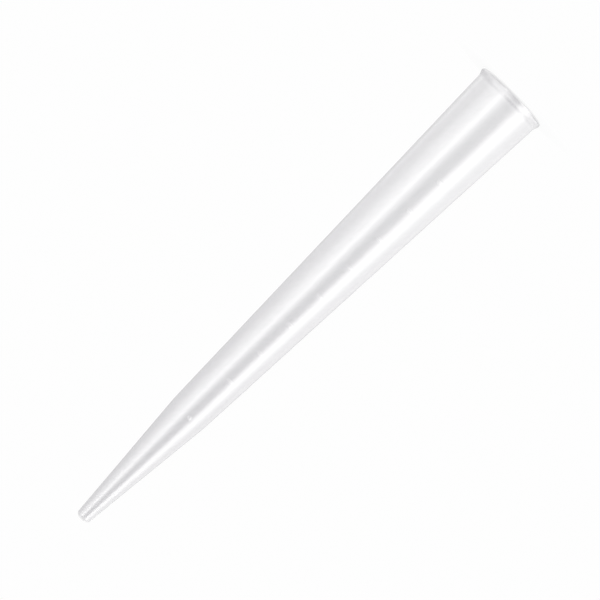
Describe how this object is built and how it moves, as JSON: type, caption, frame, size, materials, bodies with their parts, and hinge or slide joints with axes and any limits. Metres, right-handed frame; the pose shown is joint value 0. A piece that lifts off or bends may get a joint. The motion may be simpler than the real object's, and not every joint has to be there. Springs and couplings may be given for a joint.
{
  "type": "pipette tip",
  "caption": "Long tapered see-through pipette tip with a lipped open mouth, a row of short graduation dashes, a steeper nose and a small bevelled orifice.",
  "frame": {"origin": "centre of the rim's flat face, where the tip stands upside down on its wide mouth", "axes": "+Z along the tip's axis from the mouth to the orifice"},
  "size_m": [0.0162, 0.0162, 0.12],
  "materials": {
    "natural_polypropylene": "natural unpigmented polypropylene, clear with a faint milky haze, smooth moulded gloss"
  },
  "bodies": {
    "root": {"pipette_tip": "natural_polypropylene"}
  },
  "joints": []
}
